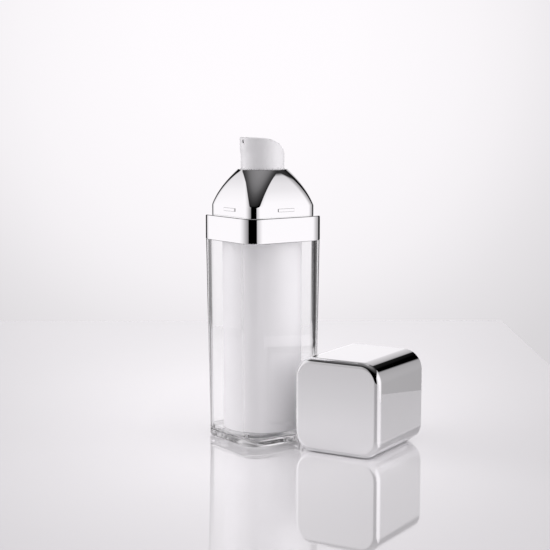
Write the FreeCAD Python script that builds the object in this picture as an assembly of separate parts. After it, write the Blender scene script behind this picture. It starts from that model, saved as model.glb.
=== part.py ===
import FreeCAD, Part
import math
import os

from FreeCAD import Rotation, Vector

os.makedirs("parts", exist_ok=True)

# Airless pump bottle, standing on z = 0 with its axis on Z and its nozzle towards -Y.
# The cap is off and lies on one side next to it. Lengths are in millimetres.

# Whole bottle
side_width = 36.0  # across the flats of the collar and the cap
corner_radius = 7.5  # upright edges of the collar and the cap
cut_overrun = 1.0  # how far a cutting shape runs past the face that it opens
same_level = 0.01  # edges this near to a height count as lying on it

# Base plate
base_band_height = 3.0
base_bottom_round = 1.0
base_top_chamfer = 0.5
base_floor = 2.1
base_spigot_height = 1.6
base_spigot_fit = 0.15
base_ledge = 1.6  # ring of the spigot under the vessel's wall
vent_radius = 1.0
vent_offset = 6.0

# Outer shell
shell_face_height = 75.0
shell_neck_height = 4.5
shell_set_in = 0.1  # its face stands back from the collar's
shell_draft = 0.9  # narrower at the foot, on each side
shell_foot_chamfer = 0.8
shell_neck_fit = 0.15
shell_neck_wall = 1.15
cavity_draft = 0.3

# Inner vessel
vessel_gap = 0.75  # least room to the shell's inner faces
vessel_wall = 1.2
vessel_roof = 1.4
vessel_flange_fit = 0.4
vessel_neck_height = 6.6
vessel_neck_wall = 1.4
neck_bead_depth = 0.5
neck_bead_height = 1.2
neck_bead_drop = 3.0  # from the neck's top to the bead

# Follower piston
follower_height = 18.0
follower_fit = 0.05
follower_lip_height = 1.6
follower_waist = 0.55
follower_wall = 1.1
follower_stand_off = 0.4
follower_well_room = 0.6

# Collar
collar_wall = 1.0
collar_ledge = 1.3
collar_top_chamfer = 0.5
ledge_fit = 0.15

# Shoulder
skirt_inset = 2.55
skirt_height = 4.0
shoulder_wall = 1.3
shoulder_flange_height = 2.3
shoulder_flange_fit = 0.3
dome_height = 13.7
dome_middle_height = 6.85
dome_middle_inset = 2.25
dome_middle_corner = 6.9
dome_rim = 1.05
dome_rim_chamfer = 0.15
dome_side_arc = 20.0  # degrees of the round top that belong to each flat side
throat_fit = 0.3
throat_depth = 3.7
throat_wall = 1.0
bead_length = 7.6
bead_height = 1.3
bead_depth = 0.3
bead_drop = 1.4

# Pump housing, gasket, pump cap and closure ring
chamber_radius = 4.3
chamber_depth = 15.2
housing_wall = 1.0
housing_floor = 1.7
housing_flange_height = 1.2
housing_plug_depth = 5.2
housing_plug_fit = 0.1
nose_radius = 4.2
nose_depth = 3.0
gasket_thickness = 0.7
pump_cap_height = 1.0
pump_cap_spigot_depth = 1.4
pump_cap_spigot_fit = 0.1
pump_cap_spigot_wall = 0.8
tower_height = 1.6
tower_wall = 1.25
closure_room = 2.2  # to the inside of the shoulder's skirt
closure_fit = 0.15
closure_wall = 1.4
closure_lip_height = 1.0
closure_mouth_radius = 7.0
closure_stand_off = 0.2
closure_catch = 0.5
closure_catch_height = 1.2
closure_catch_room = 0.2

# Inlet valve
ball_radius = 1.5
ball_side_room = 0.25
ball_lift = 0.8
ball_seat_fit = 0.06
ball_cage_room = 0.1
port_radius = 0.9
port_length = 0.8
cage_wall = 0.9
cage_nub_height = 0.6
cage_nub_width = 1.0
cage_nub_reach = 0.9
cage_nub_count = 3

# Stem, stem plug and ring piston
press_travel = 4.0
slip_travel = 0.7
stem_radius = 2.4
stem_bore_radius = 1.3
guide_fit = 0.05
stem_collar_rim = 0.8
stem_collar_height = 1.4
stop_room = 0.1
stem_port_height = 1.0
stem_port_width = 1.4
stem_port_rise = 1.9
plug_fit = 0.03
plug_pin_length = 1.6
head_radius = 3.3
head_height = 1.7
head_taper = 0.6
piston_height = 4.9
piston_fit = 0.05
piston_lip_height = 1.2
piston_waist = 0.35
piston_counterbore_rim = 0.55
piston_counterbore_depth = 3.2

# Return spring
wire_diameter = 0.8
wire_sides = 6  # flats that stand in for the round wire, which nothing shows
spring_radius = 4.4  # to the middle of the wire
spring_turns = 4
spring_seat_room = 0.03

# Actuator
actuator_radius = 8.4
actuator_rise = 12.2
actuator_skirt_depth = 4.8
actuator_wall = 1.2
actuator_roof = 1.4
crown_radius = 19.0
crown_level_back = 2.0  # where the crown is level, behind the beak's tip
crown_edge_round = 0.4
beak_reach = 9.2
beak_foot_reach = 9.0
beak_root = 4.0
beak_half_width = 2.4
beak_drop = 5.4
beak_edge_round = 0.7
nozzle_radius = 0.7
nozzle_drop = 1.5
boss_radius = 4.9
boss_depth = 1.7
socket_depth = 5.8
socket_fit = 0.04
socket_end_room = 0.1
duct_chamber_height = 4.0
duct_entry_height = 3.0
duct_wall = 0.9

# Cap
cap_length = 36.4
cap_end_round = 2.2
cap_mouth_chamfer = 0.3
cap_wall = 1.2
cap_end_wall = 1.5
liner_fit = 0.1
liner_end_wall = 1.2
liner_set_back = 0.4
liner_skirt_fit = 0.15
bead_pocket_room = 0.15
cap_yaw = 23.2  # degrees, from square with the bottle
cap_gap = 0.8  # from its side to the bottle's nearest upright edge
cap_end_ahead = 13.8  # its closed end, ahead of the bottle's axis along its own length

# Heights that follow from these, from the foot up
shell_foot_z = base_band_height
vessel_foot_z = base_band_height + base_spigot_height
collar_foot_z = shell_foot_z + shell_face_height
shell_top_z = collar_foot_z + shell_neck_height
vessel_roof_top_z = shell_top_z + vessel_roof
ledge_z = vessel_roof_top_z + shoulder_flange_height
collar_top_z = ledge_z + collar_ledge
skirt_top_z = collar_top_z + skirt_height
shoulder_top_z = skirt_top_z + dome_height
actuator_top_z = shoulder_top_z + actuator_rise
neck_top_z = vessel_roof_top_z + vessel_neck_height
housing_flange_z = neck_top_z + gasket_thickness
housing_top_z = housing_flange_z + housing_flange_height
pump_cap_top_z = housing_top_z + pump_cap_height
chamber_floor_z = housing_top_z - chamber_depth
housing_foot_z = chamber_floor_z - housing_floor
nose_foot_z = housing_foot_z - nose_depth
stem_collar_top_z = housing_top_z - stop_room
stem_collar_foot_z = stem_collar_top_z - stem_collar_height
piston_top_z = stem_collar_foot_z - slip_travel - stop_room
piston_foot_z = piston_top_z - piston_height
head_top_z = piston_foot_z - stop_room
boss_foot_z = shoulder_top_z - boss_depth
stem_top_z = boss_foot_z + socket_depth

# Widths that follow from these, from the outside in
outer_half = side_width / 2
collar_inner_half = outer_half - collar_wall
collar_inner_corner = corner_radius - collar_wall
shell_neck_half = collar_inner_half - shell_neck_fit
shell_neck_corner = collar_inner_corner - shell_neck_fit
shell_top_half = outer_half - shell_set_in
shell_corner = corner_radius - shell_set_in
shell_foot_half = shell_top_half - shell_draft
cavity_top_half = shell_neck_half - shell_neck_wall
cavity_corner = shell_neck_corner - shell_neck_wall
cavity_foot_half = cavity_top_half - cavity_draft
vessel_radius = cavity_foot_half - vessel_gap
vessel_bore_radius = vessel_radius - vessel_wall
skirt_half = outer_half - skirt_inset
skirt_corner = corner_radius - skirt_inset
throat_radius = actuator_radius + throat_fit
dome_top_radius = throat_radius + dome_rim
closure_radius = skirt_half - shoulder_wall - closure_room
closure_bore_radius = closure_radius - closure_wall
neck_bead_radius = closure_bore_radius - closure_fit
neck_radius = neck_bead_radius - neck_bead_depth
neck_bore_radius = neck_radius - vessel_neck_wall
housing_radius = chamber_radius + housing_wall
guide_radius = stem_radius + guide_fit


def square_wire(half, corner, z):
    """A square with rounded corners about the axis at height z, as four sides and four arcs."""
    flat = half - corner
    diagonal = flat + corner * math.sqrt(0.5)
    edges = []
    for quarter in range(4):
        turn = Rotation(Vector(0, 0, 1), 90 * quarter)
        side_start, side_end, corner_middle, corner_end = (
            turn.multVec(Vector(x, y, z))
            for x, y in ((half, -flat), (half, flat), (diagonal, diagonal), (flat, half))
        )
        edges.append(Part.LineSegment(side_start, side_end).toShape())
        edges.append(Part.Arc(side_end, corner_middle, corner_end).toShape())
    return Part.Wire(edges)


def round_wire(radius, z):
    """A circle in the same eight pieces as a square_wire, so that the two can be lofted."""
    stops = []
    for quarter in range(4):
        middle = 90 * quarter
        stops += [middle - dome_side_arc / 2, middle + dome_side_arc / 2]
    stops.append(stops[0] + 360)
    edges = []
    for first, last in zip(stops, stops[1:]):
        points = []
        for angle in (first, (first + last) / 2, last):
            points.append(Rotation(Vector(0, 0, 1), angle).multVec(Vector(radius, 0, z)))
        edges.append(Part.Arc(*points).toShape())
    return Part.Wire(edges)


def square_prism(half, corner, z_low, z_high):
    face = Part.Face(square_wire(half, corner, z_low))
    return face.extrude(Vector(0, 0, z_high - z_low))


def round_prism(radius, z_low, z_high):
    return Part.makeCylinder(radius, z_high - z_low, Vector(0, 0, z_low))


def turned(profile):
    """A solid of revolution about the axis from a closed outline of (radius, z) points."""
    points = [Vector(radius, 0, z) for radius, z in profile]
    return Part.Face(Part.makePolygon(points + points[:1])).revolve(Vector(), Vector(0, 0, 1), 360)


def outer_edges(shape, z, least_reach):
    """The edges that lie at height z and reach further from the axis than least_reach."""
    found = []
    for edge in shape.Edges:
        box = edge.BoundBox
        reach = max(box.XMax, -box.XMin, box.YMax, -box.YMin)
        if abs(box.ZMin - z) < same_level and abs(box.ZMax - z) < same_level and reach > least_reach:
            found.append(edge)
    return found


def four_sides(shape):
    """The shape and its copies at each further quarter turn about the axis."""
    copies = []
    for quarter in range(4):
        copy = shape.copy()
        copy.rotate(Vector(), Vector(0, 0, 1), 90 * quarter)
        copies.append(copy)
    return copies


def make_base_plate():
    band = square_prism(shell_foot_half, shell_corner, 0, base_band_height)
    band = band.makeFillet(base_bottom_round, outer_edges(band, 0, 0))
    band = band.makeChamfer(base_top_chamfer, outer_edges(band, base_band_height, 0))
    spigot = square_prism(
        cavity_foot_half - base_spigot_fit, cavity_corner - base_spigot_fit, base_floor, vessel_foot_z
    )
    recess = round_prism(vessel_radius - base_ledge, base_floor, vessel_foot_z + cut_overrun)
    vent = round_prism(vent_radius, -cut_overrun, base_floor + cut_overrun)
    vent.translate(Vector(0, vent_offset, 0))
    return band.fuse(spigot).cut(recess).cut(vent)


def make_outer_shell():
    wires = [
        square_wire(shell_foot_half, shell_corner, shell_foot_z),
        square_wire(shell_top_half, shell_corner, collar_foot_z),
    ]
    body = Part.makeLoft(wires, True, True)
    body = body.makeChamfer(shell_foot_chamfer, outer_edges(body, shell_foot_z, 0))
    neck = square_prism(shell_neck_half, shell_neck_corner, collar_foot_z, shell_top_z)
    cavity_wires = [
        square_wire(cavity_foot_half, cavity_corner, shell_foot_z),
        square_wire(cavity_top_half, cavity_corner, shell_top_z),
    ]
    return body.fuse(neck).cut(Part.makeLoft(cavity_wires, True, True))


def make_inner_vessel():
    bead_top_z = neck_top_z - neck_bead_drop
    bead_foot_z = bead_top_z - neck_bead_height
    round_part = turned(
        [
            (vessel_bore_radius, vessel_foot_z),
            (vessel_radius, vessel_foot_z),
            (vessel_radius, vessel_roof_top_z),
            (neck_radius, vessel_roof_top_z),
            (neck_radius, bead_foot_z),
            (neck_bead_radius, bead_foot_z),
            (neck_bead_radius, bead_foot_z + neck_bead_height / 2),
            (neck_radius, bead_top_z),
            (neck_radius, neck_top_z),
            (neck_bore_radius, neck_top_z),
            (neck_bore_radius, shell_top_z),
            (vessel_bore_radius, shell_top_z),
        ]
    )
    flange = square_prism(
        collar_inner_half - vessel_flange_fit,
        collar_inner_corner - vessel_flange_fit,
        shell_top_z,
        vessel_roof_top_z,
    )
    flange = flange.cut(round_prism(neck_radius, shell_top_z - cut_overrun, vessel_roof_top_z + cut_overrun))
    return round_part.fuse(flange).removeSplitter()


def make_follower_piston():
    foot_z = vessel_foot_z + follower_stand_off
    top_z = foot_z + follower_height
    lip_radius = vessel_bore_radius - follower_fit
    waist_radius = lip_radius - follower_waist
    inner_radius = waist_radius - follower_wall
    well_radius = housing_radius + follower_well_room
    well_floor_z = top_z - (shell_top_z - nose_foot_z) - follower_well_room
    return turned(
        [
            (inner_radius, foot_z),
            (lip_radius, foot_z),
            (lip_radius, foot_z + follower_lip_height),
            (waist_radius, foot_z + follower_lip_height + follower_waist),
            (waist_radius, top_z - follower_lip_height - follower_waist),
            (lip_radius, top_z - follower_lip_height),
            (lip_radius, top_z),
            (well_radius, top_z),
            (well_radius, well_floor_z),
            (0, well_floor_z),
            (0, well_floor_z - follower_wall),
            (well_radius + follower_wall, well_floor_z - follower_wall),
            (well_radius + follower_wall, top_z - follower_wall),
            (inner_radius, top_z - follower_wall),
        ]
    )


def make_collar():
    band = square_prism(outer_half, corner_radius, collar_foot_z, collar_top_z)
    band = band.makeChamfer(collar_top_chamfer, outer_edges(band, collar_top_z, 0))
    hollow = square_prism(collar_inner_half, collar_inner_corner, collar_foot_z - cut_overrun, ledge_z)
    mouth = square_prism(
        skirt_half + ledge_fit, skirt_corner + ledge_fit, ledge_z - cut_overrun, collar_top_z + cut_overrun
    )
    return band.cut(hollow).cut(mouth)


def make_dome(top_z):
    """The convex form between the square skirt and the round rim."""
    wires = [
        square_wire(skirt_half, skirt_corner, skirt_top_z),
        square_wire(skirt_half - dome_middle_inset, dome_middle_corner, skirt_top_z + dome_middle_height),
        round_wire(dome_top_radius, top_z),
    ]
    return Part.makeLoft(wires, True, False)


def snap_bead():
    """One low bead on the skirt's +X side, which the cap's liner clicks over."""
    middle_z = skirt_top_z - bead_drop
    start_y = -bead_length / 2
    low = Vector(skirt_half, start_y, middle_z - bead_height / 2)
    crest = Vector(skirt_half + bead_depth, start_y, middle_z)
    high = Vector(skirt_half, start_y, middle_z + bead_height / 2)
    root_high = Vector(skirt_half - shoulder_wall / 2, start_y, high.z)
    root_low = Vector(root_high.x, start_y, low.z)
    edges = [Part.Arc(low, crest, high).toShape()]
    edges += Part.makePolygon([high, root_high, root_low, low]).Edges
    return Part.Face(Part.Wire(edges)).extrude(Vector(0, bead_length, 0))


def make_shoulder():
    flange = square_prism(
        collar_inner_half - shoulder_flange_fit,
        collar_inner_corner - shoulder_flange_fit,
        vessel_roof_top_z,
        ledge_z,
    )
    skirt = square_prism(skirt_half, skirt_corner, ledge_z, skirt_top_z)
    rim_foot_z = shoulder_top_z - dome_rim_chamfer
    core = turned(
        [
            (0, skirt_top_z),
            (dome_top_radius, skirt_top_z),
            (dome_top_radius, rim_foot_z),
            (dome_top_radius - dome_rim_chamfer, shoulder_top_z),
            (0, shoulder_top_z),
        ]
    )
    body = flange.fuse([skirt, make_dome(rim_foot_z), core] + four_sides(snap_bead())).removeSplitter()
    skirt_hollow = square_prism(
        skirt_half - shoulder_wall, skirt_corner - shoulder_wall, vessel_roof_top_z - cut_overrun, skirt_top_z
    )
    roof_z = shoulder_top_z - shoulder_wall
    throat_outer_radius = throat_radius + throat_wall
    dome_hollow = turned(
        [
            (0, skirt_top_z),
            (skirt_half - shoulder_wall, skirt_top_z),
            (skirt_half - dome_middle_inset - shoulder_wall, skirt_top_z + dome_middle_height),
            (dome_top_radius - shoulder_wall, roof_z),
            (0, roof_z),
        ]
    )
    throat_foot_z = shoulder_top_z - throat_depth
    throat = round_prism(throat_outer_radius, throat_foot_z, roof_z)
    bore = round_prism(throat_radius, throat_foot_z - cut_overrun, shoulder_top_z + cut_overrun)
    return body.cut(skirt_hollow).cut(dome_hollow.cut(throat)).cut(bore)


def make_neck_gasket():
    ring = round_prism(neck_radius, neck_top_z, housing_flange_z)
    return ring.cut(round_prism(neck_bore_radius, neck_top_z - cut_overrun, housing_flange_z + cut_overrun))


ball_pocket_radius = ball_radius + ball_side_room
seat_foot_z = nose_foot_z + port_length
seat_top_z = seat_foot_z + ball_pocket_radius - port_radius
ball_z = seat_foot_z - port_radius + (ball_radius + ball_seat_fit) * math.sqrt(2)
cage_nub_z = ball_z + ball_radius + ball_lift + ball_cage_room
cage_top_z = cage_nub_z + cage_nub_height


def make_pump_housing():
    plug_radius = neck_bore_radius - housing_plug_fit
    plug_foot_z = housing_flange_z - housing_plug_depth
    cage_radius = ball_pocket_radius + cage_wall
    body = turned(
        [
            (port_radius, nose_foot_z),
            (nose_radius, nose_foot_z),
            (nose_radius, housing_foot_z),
            (housing_radius, housing_foot_z),
            (housing_radius, plug_foot_z),
            (plug_radius, plug_foot_z + plug_radius - housing_radius),
            (plug_radius, housing_flange_z),
            (neck_radius, housing_flange_z),
            (neck_radius, housing_top_z),
            (chamber_radius, housing_top_z),
            (chamber_radius, chamber_floor_z),
            (cage_radius, chamber_floor_z),
            (cage_radius, cage_top_z),
            (ball_pocket_radius, cage_top_z),
            (ball_pocket_radius, seat_top_z),
            (port_radius, seat_foot_z),
        ]
    )
    nub = Part.makeBox(
        cage_nub_reach + cage_wall / 2,
        cage_nub_width,
        cage_nub_height,
        Vector(ball_pocket_radius - cage_nub_reach, -cage_nub_width / 2, cage_nub_z),
    )
    nubs = []
    for count in range(cage_nub_count):
        copy = nub.copy()
        copy.rotate(Vector(), Vector(0, 0, 1), 360 * count / cage_nub_count)
        nubs.append(copy)
    return body.fuse(nubs).removeSplitter()


def make_check_ball():
    return Part.makeSphere(ball_radius, Vector(0, 0, ball_z))


def make_pump_cap():
    spigot_radius = chamber_radius - pump_cap_spigot_fit
    tower_radius = guide_radius + tower_wall
    spigot_foot_z = housing_top_z - pump_cap_spigot_depth
    return turned(
        [
            (guide_radius, housing_top_z),
            (spigot_radius - pump_cap_spigot_wall, housing_top_z),
            (spigot_radius - pump_cap_spigot_wall, spigot_foot_z),
            (spigot_radius, spigot_foot_z),
            (spigot_radius, housing_top_z),
            (neck_radius, housing_top_z),
            (neck_radius, pump_cap_top_z),
            (tower_radius, pump_cap_top_z),
            (tower_radius, pump_cap_top_z + tower_height),
            (guide_radius, pump_cap_top_z + tower_height),
        ]
    )


def make_closure_ring():
    foot_z = vessel_roof_top_z + closure_stand_off
    catch_top_z = neck_top_z - neck_bead_drop - neck_bead_height - closure_catch_room
    catch_foot_z = catch_top_z - closure_catch_height
    catch_radius = closure_bore_radius - closure_catch
    return turned(
        [
            (closure_bore_radius, foot_z),
            (closure_radius, foot_z),
            (closure_radius, pump_cap_top_z + closure_lip_height),
            (closure_mouth_radius, pump_cap_top_z + closure_lip_height),
            (closure_mouth_radius, pump_cap_top_z),
            (closure_bore_radius, pump_cap_top_z),
            (closure_bore_radius, catch_top_z),
            (catch_radius, catch_top_z),
            (catch_radius, catch_top_z - closure_catch_height / 2),
            (closure_bore_radius, catch_foot_z),
        ]
    )


def make_stem():
    collar_radius = stem_radius + stem_collar_rim
    rod = turned(
        [
            (stem_bore_radius, head_top_z),
            (stem_radius, head_top_z),
            (stem_radius, stem_collar_foot_z),
            (collar_radius, stem_collar_foot_z),
            (collar_radius, stem_collar_top_z),
            (stem_radius, stem_collar_top_z),
            (stem_radius, stem_top_z),
            (stem_bore_radius, stem_top_z),
        ]
    )
    port_reach = stem_radius + cut_overrun
    port = Part.makeBox(
        2 * port_reach,
        stem_port_width,
        stem_port_height,
        Vector(-port_reach, -stem_port_width / 2, head_top_z + stem_port_rise),
    )
    return rod.cut(port)


def make_stem_plug():
    pin_radius = stem_bore_radius - plug_fit
    head_foot_z = head_top_z - head_height
    return turned(
        [
            (0, head_foot_z),
            (head_radius - head_taper, head_foot_z),
            (head_radius, head_foot_z + head_taper),
            (head_radius, head_top_z),
            (pin_radius, head_top_z),
            (pin_radius, head_top_z + plug_pin_length),
            (0, head_top_z + plug_pin_length),
        ]
    )


def make_ring_piston():
    lip_radius = chamber_radius - piston_fit
    waist_radius = lip_radius - piston_waist
    counterbore_radius = stem_radius + piston_counterbore_rim
    counterbore_top_z = piston_foot_z + piston_counterbore_depth
    return turned(
        [
            (counterbore_radius, piston_foot_z),
            (lip_radius, piston_foot_z),
            (lip_radius, piston_foot_z + piston_lip_height),
            (waist_radius, piston_foot_z + piston_lip_height + piston_waist),
            (waist_radius, piston_top_z - piston_lip_height - piston_waist),
            (lip_radius, piston_top_z - piston_lip_height),
            (lip_radius, piston_top_z),
            (guide_radius, piston_top_z),
            (guide_radius, counterbore_top_z),
            (counterbore_radius, counterbore_top_z),
        ]
    )


def arc_from(start, tangent, end):
    """The circular arc that leaves start along tangent and ends at end."""
    chord = end - start
    along = Vector(chord).normalize()
    across = tangent - along * tangent.dot(along)
    half_angle = math.acos(tangent.dot(along))
    sagitta = chord.Length / 2 * math.tan(half_angle / 2)
    middle = (start + end) / 2 + across.normalize() * sagitta
    return Part.Arc(start, middle, end).toShape()


def make_return_spring():
    """One wire wound as a helix, each quarter turn a pair of arcs that share a tangent."""
    seat_z = pump_cap_top_z
    length = boss_foot_z - seat_z
    slope = length / (2 * math.pi * spring_radius * spring_turns)
    end_rise = wire_diameter * slope
    first_z = seat_z + wire_diameter / 2 + end_rise + spring_seat_room
    last_z = boss_foot_z - wire_diameter / 2 - end_rise - spring_seat_room
    pitch = (last_z - first_z) / spring_turns
    quarters = 4 * spring_turns

    def place(quarter):
        angle = math.pi / 2 * quarter
        point = Vector(
            spring_radius * math.cos(angle),
            spring_radius * math.sin(angle),
            first_z + pitch * quarter / 4,
        )
        tangent = Vector(
            -spring_radius * math.sin(angle), spring_radius * math.cos(angle), pitch / (2 * math.pi)
        )
        return point, tangent.normalize()

    start, start_tangent = place(0)
    tail = start - start_tangent * wire_diameter
    edges = [Part.LineSegment(tail, start).toShape()]
    for quarter in range(quarters):
        point, tangent = place(quarter)
        next_point, next_tangent = place(quarter + 1)
        chord = next_point - point
        both = tangent + next_tangent
        bend = 2 * (1 - tangent.dot(next_tangent))
        reach = (math.sqrt(chord.dot(both) ** 2 + bend * chord.dot(chord)) - chord.dot(both)) / bend
        join = (point + next_point + (tangent - next_tangent) * reach) / 2
        join_tangent = (next_point - point - both * reach).normalize()
        edges.append(arc_from(point, tangent, join))
        edges.append(arc_from(join, join_tangent, next_point))
    end, end_tangent = place(quarters)
    edges.append(Part.LineSegment(end, end + end_tangent * wire_diameter).toShape())
    path = Part.Wire(edges)
    rim_points = []
    for side in range(wire_sides + 1):
        turn = Rotation(start_tangent, 360 * side / wire_sides)
        rim_points.append(tail + turn.multVec(Vector(wire_diameter / 2, 0, 0)))
    coil = path.makePipeShell([Part.makePolygon(rim_points)], True, False)

    points = path.discretize(40 * spring_turns)
    least = min(
        first.distanceToPoint(second)
        for place_first, first in enumerate(points)
        for second in points[place_first + 20 :]
    )
    print("return_spring least gap to itself", round(least - wire_diameter, 3))
    return coil


def under_crown(drop):
    """All of the room under the actuator's crown, the crown lowered by drop."""
    top_z = actuator_top_z - drop
    low_z = shoulder_top_z - actuator_skirt_depth - cut_overrun
    front_y = -beak_reach - cut_overrun
    back_y = actuator_radius
    level_y = crown_level_back - beak_reach
    crown_points = []
    for y in (front_y, level_y, back_y):
        fall = crown_radius - math.sqrt(crown_radius**2 - (y - level_y) ** 2)
        crown_points.append(Vector(0, y, top_z - fall))
    outline = [crown_points[-1], Vector(0, back_y, low_z), Vector(0, front_y, low_z), crown_points[0]]
    edges = [Part.Arc(*crown_points).toShape()]
    edges += Part.makePolygon(outline).Edges
    half_span = actuator_radius + cut_overrun
    room = Part.Face(Part.Wire(edges)).extrude(Vector(2 * half_span, 0, 0))
    room.translate(Vector(-half_span, 0, 0))
    return room


def make_beak():
    """The small lip ahead of the crown that carries the nozzle, leaning forward as it rises."""
    sections = []
    for reach, z in (
        (beak_foot_reach, actuator_top_z - beak_drop),
        (beak_reach, actuator_top_z),
    ):
        corners = [
            Vector(-beak_half_width, -reach, z),
            Vector(beak_half_width, -reach, z),
            Vector(beak_half_width, -beak_root, z),
            Vector(-beak_half_width, -beak_root, z),
        ]
        sections.append(Part.makePolygon(corners + corners[:1]))
    beak = Part.makeLoft(sections, True, True)
    front = [
        edge
        for edge in beak.Edges
        if edge.BoundBox.YMax < -beak_root and edge.BoundBox.ZLength > beak_drop / 2
    ]
    return beak.makeFillet(beak_edge_round, front)


def make_actuator():
    foot_z = shoulder_top_z - actuator_skirt_depth
    socket_top_z = stem_top_z + socket_end_room
    room = under_crown(0)
    outer = round_prism(actuator_radius, foot_z, actuator_top_z).fuse(make_beak()).common(room)
    outer = outer.removeSplitter()
    broad = [face for face in outer.Faces if face.BoundBox.YLength > actuator_radius]
    crown = max(broad, key=lambda face: face.BoundBox.ZMin)
    outer = outer.makeFillet(crown_edge_round, crown.OuterWire.Edges)
    hollow = round_prism(actuator_radius - actuator_wall, foot_z - cut_overrun, actuator_top_z)
    shell = outer.cut(hollow.common(under_crown(actuator_roof)))
    boss = round_prism(boss_radius, boss_foot_z, actuator_top_z).common(room)
    duct_start = Vector(0, 0, socket_top_z + duct_entry_height)
    nozzle = Vector(0, -beak_reach, actuator_top_z - nozzle_drop)
    run = nozzle - duct_start
    duct_wall_tube = Part.makeCylinder(nozzle_radius + duct_wall, run.Length, duct_start, run).common(outer)
    solid = shell.fuse([boss, duct_wall_tube])
    socket = round_prism(stem_radius + socket_fit, boss_foot_z - cut_overrun, socket_top_z)
    chamber = round_prism(stem_bore_radius, boss_foot_z, socket_top_z + duct_chamber_height)
    duct = Part.makeCylinder(nozzle_radius, run.Length + cut_overrun, duct_start, run)
    return solid.cut(socket).cut(chamber).cut(duct).removeSplitter()


def laid_beside(shape):
    """Lays a piece of the cap, built mouth down on the axis, on its side next to the bottle."""
    yaw = math.radians(cap_yaw)
    corner_reach = corner_radius + (outer_half - corner_radius) * (math.cos(yaw) + math.sin(yaw))
    mouth = Vector(corner_reach + cap_gap + outer_half, cap_length - cap_end_ahead, outer_half)
    shape.rotate(Vector(), Vector(1, 0, 0), 90)
    shape.translate(mouth)
    shape.rotate(Vector(), Vector(0, 0, 1), cap_yaw)
    return shape


def make_cap_shell():
    block = square_prism(outer_half, corner_radius, 0, cap_length)
    block = block.makeFillet(cap_end_round, outer_edges(block, cap_length, 0))
    block = block.makeChamfer(cap_mouth_chamfer, outer_edges(block, 0, 0))
    hollow = square_prism(
        outer_half - cap_wall, corner_radius - cap_wall, -cut_overrun, cap_length - cap_end_wall
    )
    return laid_beside(block.cut(hollow))


def make_cap_liner():
    outer_inset = cap_wall + liner_fit
    top_z = cap_length - cap_end_wall
    inner_half = skirt_half + liner_skirt_fit
    inner_corner = skirt_corner + liner_skirt_fit
    block = square_prism(outer_half - outer_inset, corner_radius - outer_inset, liner_set_back, top_z)
    hollow = square_prism(inner_half, inner_corner, liner_set_back - cut_overrun, top_z - liner_end_wall)
    pocket = Part.makeBox(
        bead_depth + bead_pocket_room,
        bead_length + 2 * bead_pocket_room,
        bead_height + 2 * bead_pocket_room,
        Vector(
            skirt_half,
            -bead_length / 2 - bead_pocket_room,
            skirt_height - bead_drop - bead_height / 2 - bead_pocket_room,
        ),
    )
    return laid_beside(block.cut(hollow).cut(four_sides(pocket)))


makers = {
    "base_plate": make_base_plate,
    "outer_shell": make_outer_shell,
    "inner_vessel": make_inner_vessel,
    "follower_piston": make_follower_piston,
    "collar": make_collar,
    "shoulder": make_shoulder,
    "neck_gasket": make_neck_gasket,
    "pump_housing": make_pump_housing,
    "check_ball": make_check_ball,
    "pump_cap": make_pump_cap,
    "closure_ring": make_closure_ring,
    "stem": make_stem,
    "stem_plug": make_stem_plug,
    "ring_piston": make_ring_piston,
    "return_spring": make_return_spring,
    "actuator": make_actuator,
    "cap_shell": make_cap_shell,
    "cap_liner": make_cap_liner,
}

for node, make in makers.items():
    piece = make()
    print(node, len(piece.Solids), "solid", piece.isValid(), round(piece.Volume, 1))
    piece.exportStep("parts/" + node + ".step")
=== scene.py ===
import math

import bmesh
import bpy
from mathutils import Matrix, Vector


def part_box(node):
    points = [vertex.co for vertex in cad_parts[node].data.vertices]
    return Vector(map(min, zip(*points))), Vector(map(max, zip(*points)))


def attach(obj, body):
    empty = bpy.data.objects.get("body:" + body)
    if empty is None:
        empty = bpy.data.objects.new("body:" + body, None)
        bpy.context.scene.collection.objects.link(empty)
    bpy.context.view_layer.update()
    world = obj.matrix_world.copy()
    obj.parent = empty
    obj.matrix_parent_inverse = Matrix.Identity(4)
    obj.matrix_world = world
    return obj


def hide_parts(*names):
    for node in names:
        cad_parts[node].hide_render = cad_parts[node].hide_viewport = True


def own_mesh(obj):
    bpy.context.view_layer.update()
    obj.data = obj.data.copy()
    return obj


# An airless pump bottle that stands with its cap off, the cap lying beside it. Everything is
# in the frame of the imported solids: metres, the bottle's axis on Z and its nozzle towards -Y.
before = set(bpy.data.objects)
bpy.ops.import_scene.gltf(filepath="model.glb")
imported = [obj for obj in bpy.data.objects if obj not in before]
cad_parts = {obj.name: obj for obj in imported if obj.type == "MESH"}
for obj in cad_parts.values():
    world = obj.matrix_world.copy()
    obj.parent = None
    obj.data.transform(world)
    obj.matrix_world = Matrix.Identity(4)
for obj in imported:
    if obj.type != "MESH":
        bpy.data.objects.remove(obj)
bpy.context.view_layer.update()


# Base plate
# A thick clear acrylic foot with a square spigot, moulded in one and bonded into the shell.
# A small vent through its floor lets air in under the follower piston.
base_low, base_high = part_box("base_plate")
base_half = base_high.x
base_corner = 0.0074
base_band = 0.0030
base_bottom_round = 0.0010
base_top_round = 0.0005
spigot_set_in = 0.00175
recess_set_in = 0.0018
recess_radius = 0.01305
recess_floor = 0.0021
vent_radius = 0.0010
vent_offset = 0.0060
acrylic_light = (1.0, 1.0, 1.0)
acrylic_dark = (0.992, 0.995, 0.996)
acrylic_soft = (1, 1, 1, 1)
acrylic_ior = 1.49

corner_steps = 28  # facets round each upright edge of the square pieces
touch = 1e-6  # points this near count as level
level_normal = 0.9  # faces whose normal is at least this upright count as level


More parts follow.
